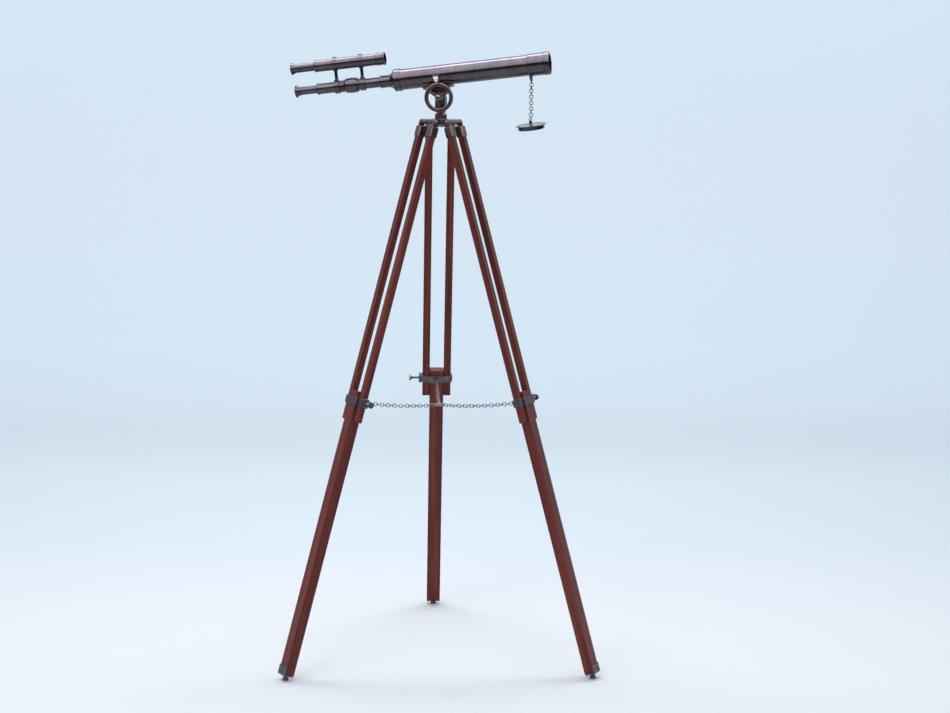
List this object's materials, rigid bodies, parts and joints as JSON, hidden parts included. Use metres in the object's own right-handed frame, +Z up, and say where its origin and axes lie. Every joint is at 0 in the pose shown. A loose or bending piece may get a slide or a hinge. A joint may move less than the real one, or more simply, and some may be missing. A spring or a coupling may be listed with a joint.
{
  "type": "telescope on tripod",
  "caption": "Brass refracting telescope with a finder scope, on a tilting and turning fork head above a folding wooden tripod with telescoping legs and spreader chains.",
  "frame": {"origin": "on the floor, at the middle of the bottom of the bounding box", "axes": "+Z up; the main tube points roughly along +X, turned 10 degrees towards -Y and raised 6.8 degrees; the back leg stands on the +Y side; the hand wheel faces -Y"},
  "size_m": [0.8446, 0.7522, 1.624],
  "materials": {
    "bronzed_brass": "polished dark bronzed plating with warm brown and violet-grey reflections",
    "dark_iron": "blackened, worn satin",
    "polished_nickel": "bright polished",
    "mahogany": "semi-gloss reddish brown varnish over straight grain",
    "lens_glass": "clear"
  },
  "bodies": {
    "base": {"head_plate": "bronzed_brass", "base_collar": "bronzed_brass"},
    "column": {"column": "bronzed_brass", "column_nut": "dark_iron", "tilt_bolt": "dark_iron"},
    "wheel": {"hand_wheel": "dark_iron", "wheel_nut": "polished_nickel"},
    "telescope": {"saddle": "bronzed_brass", "saddle_screw": "polished_nickel", "main_tube": "bronzed_brass", "objective_sleeve": "bronzed_brass", "objective_bezel": "bronzed_brass", "objective_lens": "lens_glass", "rear_flange": "bronzed_brass", "rear_stage": "bronzed_brass", "cap_lug": "dark_iron"},
    "draw": {"draw_tube": "bronzed_brass", "relay_drum": "bronzed_brass", "eyepiece_sleeve": "bronzed_brass", "finder_bracket_rear": "bronzed_brass", "finder_bracket_front": "bronzed_brass", "finder_tube": "bronzed_brass", "finder_bezel": "bronzed_brass", "finder_lens": "lens_glass"},
    "eyepiece": {"eyepiece": "bronzed_brass", "eyepiece_lens": "lens_glass"},
    "finder_eyepiece": {"finder_eyepiece": "bronzed_brass"},
    "cap": {"cap_chain": "dark_iron", "dust_cap": "bronzed_brass"},
    "back_leg": {"back_leg_pin": "dark_iron", "back_leg_bracket": "bronzed_brass", "back_upper_stick_a": "mahogany", "back_upper_stick_b": "mahogany", "back_clamp_collar": "dark_iron"},
    "back_lower": {"back_lower_leg": "mahogany", "back_foot_bracket": "dark_iron", "back_foot_button": "dark_iron"},
    "back_screw": {"back_clamp_screw": "dark_iron"},
    "back_chain": {"back_leg_chain": "dark_iron", "chain_ring": "dark_iron"},
    "right_leg": {"right_leg_pin": "dark_iron", "right_leg_bracket": "bronzed_brass", "right_upper_stick_a": "mahogany", "right_upper_stick_b": "mahogany", "right_clamp_collar": "dark_iron"},
    "right_lower": {"right_lower_leg": "mahogany", "right_foot_bracket": "dark_iron", "right_foot_button": "dark_iron"},
    "right_screw": {"right_clamp_screw": "dark_iron"},
    "right_chain": {"right_leg_chain": "dark_iron"},
    "left_leg": {"left_leg_pin": "dark_iron", "left_leg_bracket": "bronzed_brass", "left_upper_stick_a": "mahogany", "left_upper_stick_b": "mahogany", "left_clamp_collar": "dark_iron"},
    "left_lower": {"left_lower_leg": "mahogany", "left_foot_bracket": "dark_iron", "left_foot_button": "dark_iron"},
    "left_screw": {"left_clamp_screw": "dark_iron"},
    "left_chain": {"left_leg_chain": "dark_iron"}
  },
  "joints": [
    {"name": "pan", "type": "hinge", "parent": "base", "child": "column", "pos_m": [-0.01084, -0.10145, 1.4615], "axis": [0, 0, 1], "continuous": true},
    {"name": "tilt", "type": "hinge", "parent": "column", "child": "telescope", "pos_m": [-0.01084, -0.10145, 1.503], "axis": [-0.1736, -0.9848, 0], "range_deg": [-30, 52]},
    {"name": "wheel_turn", "type": "hinge", "parent": "column", "child": "wheel", "pos_m": [-0.01596, -0.13051, 1.503], "axis": [-0.1736, -0.9848, 0], "range_deg": [0, 360]},
    {"name": "draw_slide", "type": "slide", "parent": "telescope", "child": "draw", "axis": [0.9779, -0.1724, 0.1184], "range_m": [-0.055, 0.033]},
    {"name": "focus_slide", "type": "slide", "parent": "draw", "child": "eyepiece", "axis": [0.9779, -0.1724, 0.1184], "range_m": [-0.02, 0.04]},
    {"name": "finder_focus_slide", "type": "slide", "parent": "draw", "child": "finder_eyepiece", "axis": [0.9779, -0.1724, 0.1184], "range_m": [-0.015, 0.035]},
    {"name": "cap_swing", "type": "hinge", "parent": "telescope", "child": "cap", "pos_m": [0.22353, -0.14278, 1.55102], "axis": [-0.1736, -0.9848, 0], "range_deg": [-50, 50]},
    {"name": "back_fold", "type": "hinge", "parent": "base", "child": "back_leg", "pos_m": [-0.01263, -0.0649, 1.4395], "axis": [-0.9988, -0.0488, 0], "range_deg": [0, 15.5]},
    {"name": "back_slide", "type": "slide", "parent": "back_leg", "child": "back_lower", "axis": [0.014, -0.2855, 0.9583], "range_m": [0, 0.6]},
    {"name": "back_screw_turn", "type": "hinge", "parent": "back_leg", "child": "back_screw", "pos_m": [-0.08306, 0.14687, 0.71888], "axis": [-0.9988, -0.0488, 0], "range_deg": [0, 360]},
    {"name": "back_chain_hang", "type": "hinge", "parent": "back_leg", "child": "back_chain", "pos_m": [-0.02215, 0.12966, 0.71286], "axis": [0.9988, 0.0488, 0], "range_deg": [0, 95.01]},
    {"name": "right_fold", "type": "hinge", "parent": "base", "child": "right_leg", "pos_m": [0.02171, -0.11818, 1.4395], "axis": [0.4571, 0.8894, 0], "range_deg": [0, 15.5]},
    {"name": "right_slide", "type": "slide", "parent": "right_leg", "child": "right_lower", "axis": [-0.2542, 0.1307, 0.9583], "range_m": [0, 0.6]},
    {"name": "right_screw_turn", "type": "hinge", "parent": "right_leg", "child": "right_screw", "pos_m": [0.24033, -0.16308, 0.71888], "axis": [0.4571, 0.8894, 0], "range_deg": [0, 360]},
    {"name": "right_chain_hang", "type": "hinge", "parent": "right_leg", "child": "right_chain", "pos_m": [0.19496, -0.20722, 0.71286], "axis": [-0.4571, -0.8894, 0], "range_deg": [0, 95.01]},
    {"name": "left_fold", "type": "hinge", "parent": "base", "child": "left_leg", "pos_m": [-0.04161, -0.12128, 1.4395], "axis": [0.5417, -0.8406, 0], "range_deg": [0, 15.5]},
    {"name": "left_slide", "type": "slide", "parent": "left_leg", "child": "left_lower", "axis": [0.2403, 0.1549, 0.9583], "range_m": [0, 0.6]},
    {"name": "left_screw_turn", "type": "hinge", "parent": "left_leg", "child": "left_screw", "pos_m": [-0.18979, -0.28816, 0.71888], "axis": [0.5417, -0.8406, 0], "range_deg": [0, 360]},
    {"name": "left_chain_hang", "type": "hinge", "parent": "left_leg", "child": "left_chain", "pos_m": [-0.20534, -0.2268, 0.71286], "axis": [-0.5417, 0.8406, 0], "range_deg": [0, 95.01]}
  ],
  "couplings": [
    {"joint": "back_chain_hang", "follows": "back_fold", "ratio": 6.129},
    {"joint": "right_chain_hang", "follows": "right_fold", "ratio": 6.129},
    {"joint": "left_chain_hang", "follows": "left_fold", "ratio": 6.129}
  ]
}
